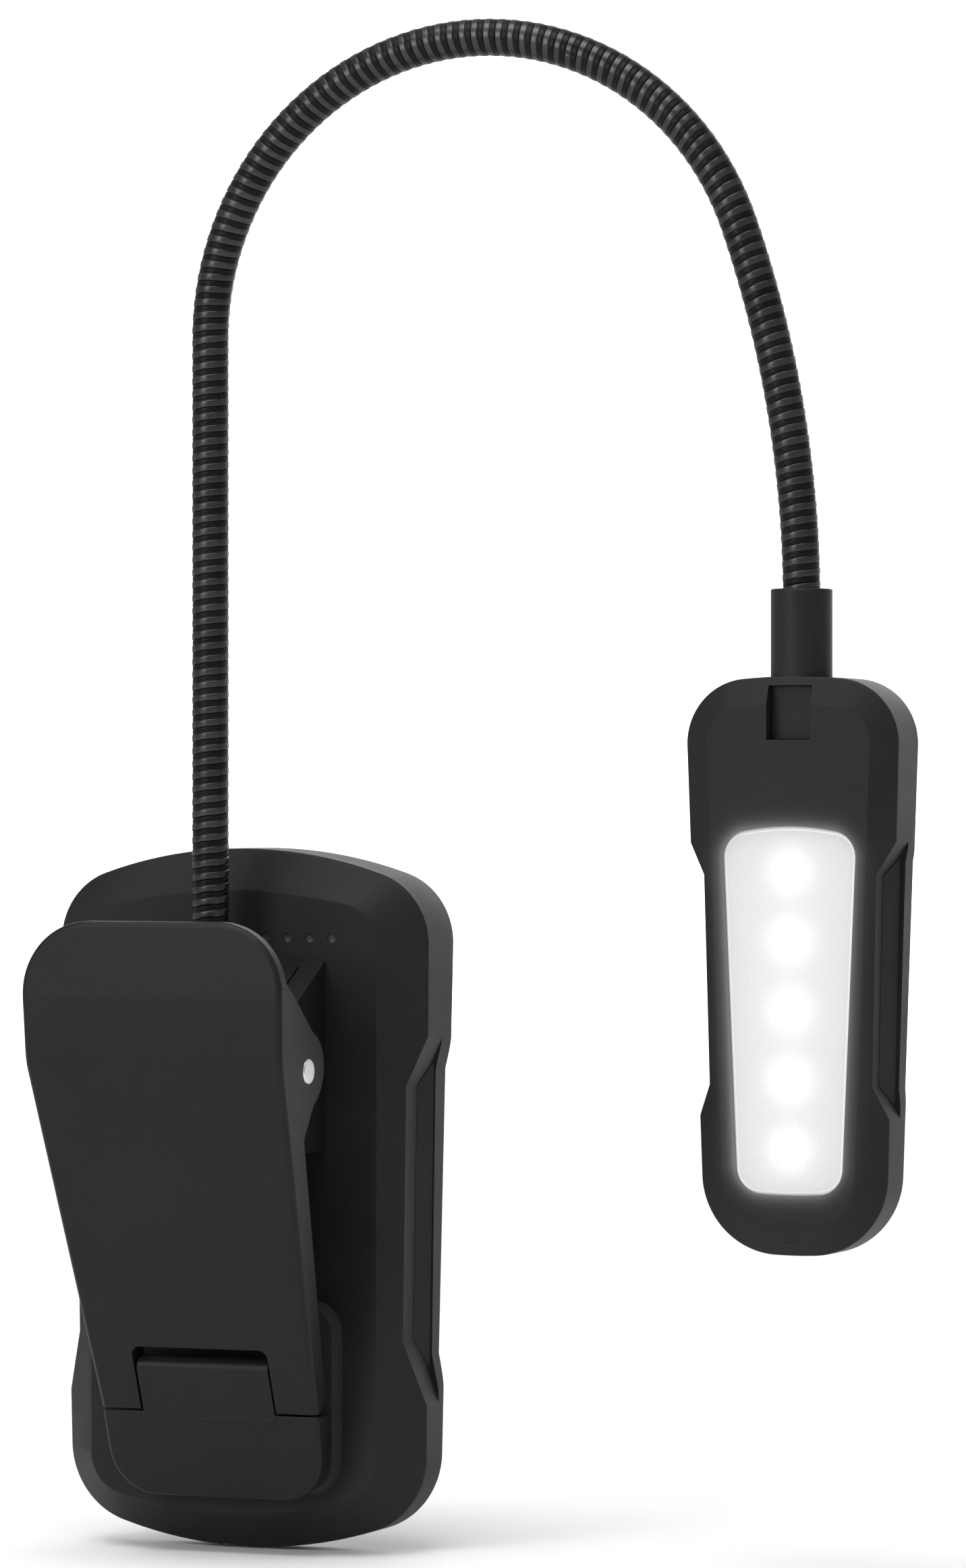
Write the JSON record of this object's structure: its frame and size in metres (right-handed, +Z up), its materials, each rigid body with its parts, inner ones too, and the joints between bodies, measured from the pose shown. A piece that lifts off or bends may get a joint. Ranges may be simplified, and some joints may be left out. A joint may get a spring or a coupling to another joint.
{
  "type": "clip-on reading lamp",
  "caption": "Clip-on reading lamp: slim rechargeable base with a sprung jaw, black gooseneck, and a narrow head with a frosted light panel.",
  "frame": {"origin": "centre of the fixed jaw pad's front face, on the base housing", "axes": "+Z up the base towards the neck, -Y out of the jaw pad towards the clip lever, +X to the side the neck is bent over to"},
  "size_m": [0.1263, 0.0401, 0.2059],
  "materials": {
    "housing_plastic": "fine spark-eroded texture",
    "clip_plastic": "satin moulded",
    "button_plastic": "satin moulded",
    "sleeve_plastic": "satin moulded",
    "switch_black": "moulded",
    "grip_rubber": "matt",
    "pad_rubber": "ribbed, matt",
    "foam_tape": "foam",
    "bright_steel": "turned",
    "spring_steel": "drawn wire",
    "neck_black_steel": "black oxide, satin",
    "cell_wrap": "shrink film",
    "board_green": "solder mask",
    "board_white": "solder mask",
    "clear_plastic": "polished",
    "led_white": "moulded, lit",
    "frosted_lens": "frosted, lit from behind",
    "lead_pvc": "extruded"
  },
  "bodies": {
    "base": {"base_front_shell": "housing_plastic", "base_back_shell": "housing_plastic", "base_grip_right": "grip_rubber", "base_grip_left": "grip_rubber", "base_jaw_pad": "pad_rubber", "clip_bracket": "clip_plastic", "neck_socket": "clip_plastic", "neck_anchor": "bright_steel", "clip_pin": "bright_steel", "clip_spring": "spring_steel", "battery_cell": "cell_wrap", "battery_tape": "foam_tape", "control_board": "board_green", "light_pipes": "clear_plastic", "indicator_leds": "led_white", "tact_switch": "switch_black", "charge_port": "bright_steel", "charge_board": "board_green", "base_screws": "bright_steel", "neck_leads": "lead_pvc", "neck_link_0": "neck_black_steel"},
    "clip_lever": {"clip_lever": "clip_plastic", "foot_pin": "bright_steel"},
    "clip_foot": {"clip_foot": "clip_plastic", "foot_pad": "pad_rubber"},
    "power_button": {"power_button": "button_plastic"},
    "neck_1": {"neck_link_1": "neck_black_steel"},
    "neck_2": {"neck_link_2": "neck_black_steel"},
    "neck_3": {"neck_link_3": "neck_black_steel"},
    "neck_4": {"neck_link_4": "neck_black_steel"},
    "neck_5": {"neck_link_5": "neck_black_steel"},
    "head": {"neck_link_6": "neck_black_steel", "head_front_shell": "housing_plastic", "head_back_shell": "housing_plastic", "head_grip_right": "grip_rubber", "head_grip_left": "grip_rubber", "head_lens": "frosted_lens", "led_board": "board_white", "head_leds": "led_white", "neck_sleeve": "sleeve_plastic", "head_screws": "bright_steel", "head_leads": "lead_pvc"}
  },
  "joints": [
    {"name": "lever_pivot", "type": "hinge", "parent": "base", "child": "clip_lever", "pos_m": [0, -0.01505, 0.0449], "axis": [-1, 0, 0], "range_deg": [0, 28], "stiffness_Nm_per_rad": 0.2, "springref_deg": -51.57, "deforming": ["clip_spring"]},
    {"name": "foot_pivot", "type": "hinge", "parent": "clip_lever", "child": "clip_foot", "pos_m": [0, -0.0045, 0.0022], "axis": [-1, 0, 0], "range_deg": [-28, 0]},
    {"name": "power_press", "type": "slide", "parent": "base", "child": "power_button", "axis": [0, -1, 0], "range_m": [0, 0.0005], "stiffness_N_per_m": 2000, "springref_m": -0.0005},
    {"name": "neck_bend_1", "type": "hinge", "parent": "base", "child": "neck_1", "pos_m": [0, -0.0053, 0.071], "axis": [0, 1, 0], "range_deg": [-45, 30]},
    {"name": "neck_bend_2", "type": "hinge", "parent": "neck_1", "child": "neck_2", "pos_m": [0, -0.0053, 0.113], "axis": [1, 0, 0], "range_deg": [-45, 45]},
    {"name": "neck_bend_3", "type": "hinge", "parent": "neck_2", "child": "neck_3", "pos_m": [0.0018, -0.0053, 0.15482], "axis": [0, -1, 0], "range_deg": [-20, 45]},
    {"name": "neck_bend_4", "type": "hinge", "parent": "neck_3", "child": "neck_4", "pos_m": [0.03168, -0.0053, 0.18141], "axis": [0.1876, 0, -0.9822], "range_deg": [-45, 45]},
    {"name": "neck_bend_5", "type": "hinge", "parent": "neck_4", "child": "neck_5", "pos_m": [0.06926, -0.0053, 0.1677], "axis": [0, 1, 0], "range_deg": [-45, 20]},
    {"name": "neck_bend_6", "type": "hinge", "parent": "neck_5", "child": "head", "pos_m": [0.08275, -0.0053, 0.12838], "axis": [0.9889, 0, 0.1489], "range_deg": [-45, 45]}
  ],
  "couplings": [
    {"joint": "foot_pivot", "follows": "lever_pivot", "ratio": -1}
  ]
}
